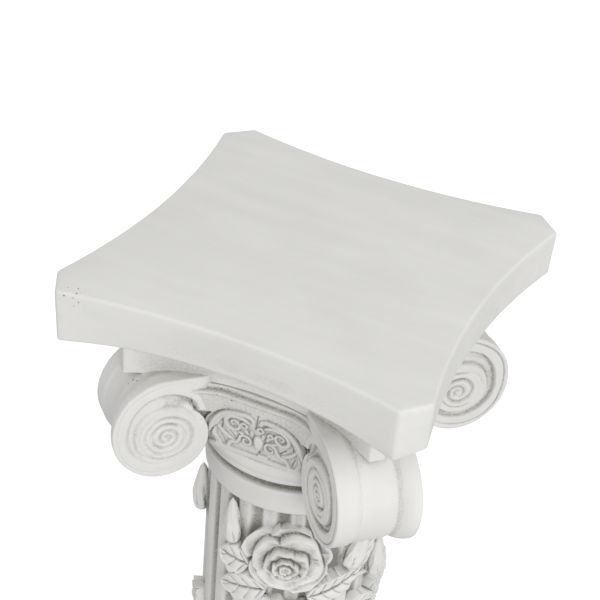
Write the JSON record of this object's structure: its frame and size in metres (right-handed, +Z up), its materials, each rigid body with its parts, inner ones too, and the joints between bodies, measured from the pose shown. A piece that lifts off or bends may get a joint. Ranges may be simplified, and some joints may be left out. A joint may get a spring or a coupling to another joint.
{
  "type": "column pedestal",
  "caption": "Square-topped Ionic column pedestal in cast stone, with diagonal volutes, arched relief panels, a fluted shaft wound with roses and a moulded base.",
  "frame": {"origin": "middle of the plinth's underside, on the ground", "axes": "+Z up along the shaft; the four straight sides of the plinth face -Y, +X, +Y and -X, and the front rose faces about 22 degrees to the +X side of -Y"},
  "size_m": [0.2914, 0.2914, 0.72],
  "materials": {
    "cast_stone": "matte off-white cast stone with a grey-brown wash in the hollows"
  },
  "bodies": {
    "root": {"column_pedestal": "cast_stone"}
  },
  "joints": []
}
